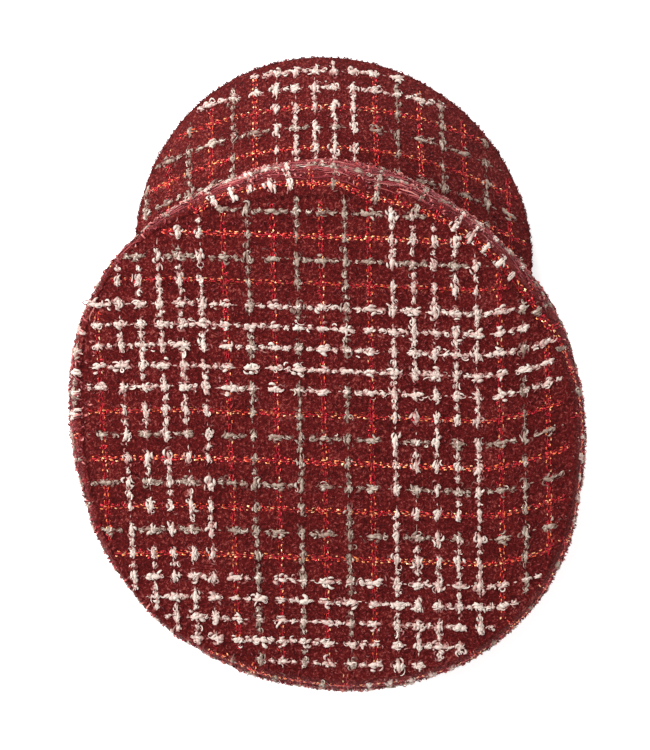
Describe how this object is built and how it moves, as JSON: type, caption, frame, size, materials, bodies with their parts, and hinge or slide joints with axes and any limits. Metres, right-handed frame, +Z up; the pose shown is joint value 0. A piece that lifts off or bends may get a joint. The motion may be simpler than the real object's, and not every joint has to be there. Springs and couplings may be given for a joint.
{
  "type": "baker boy cap",
  "caption": "Soft tweed cap with a wide round flat crown, a side panel rolled over its rim, a head band and a padded curved peak.",
  "frame": {"origin": "on the table under the middle of the cap's bounding box", "axes": "+Z up from the table, the peak points to -Y, the wearer's left is +X"},
  "size_m": [0.2458, 0.315, 0.1001],
  "materials": {
    "crown_tweed": "burgundy boucle tweed with an off-white, grey and lurex check",
    "band_tweed": "burgundy boucle tweed, turned in at the hem",
    "peak_tweed": "burgundy boucle tweed with the same check, drawn over a stiff board"
  },
  "bodies": {
    "root": {"crown_top": "crown_tweed", "crown_side": "crown_tweed", "head_band": "band_tweed", "peak": "peak_tweed"}
  },
  "joints": []
}
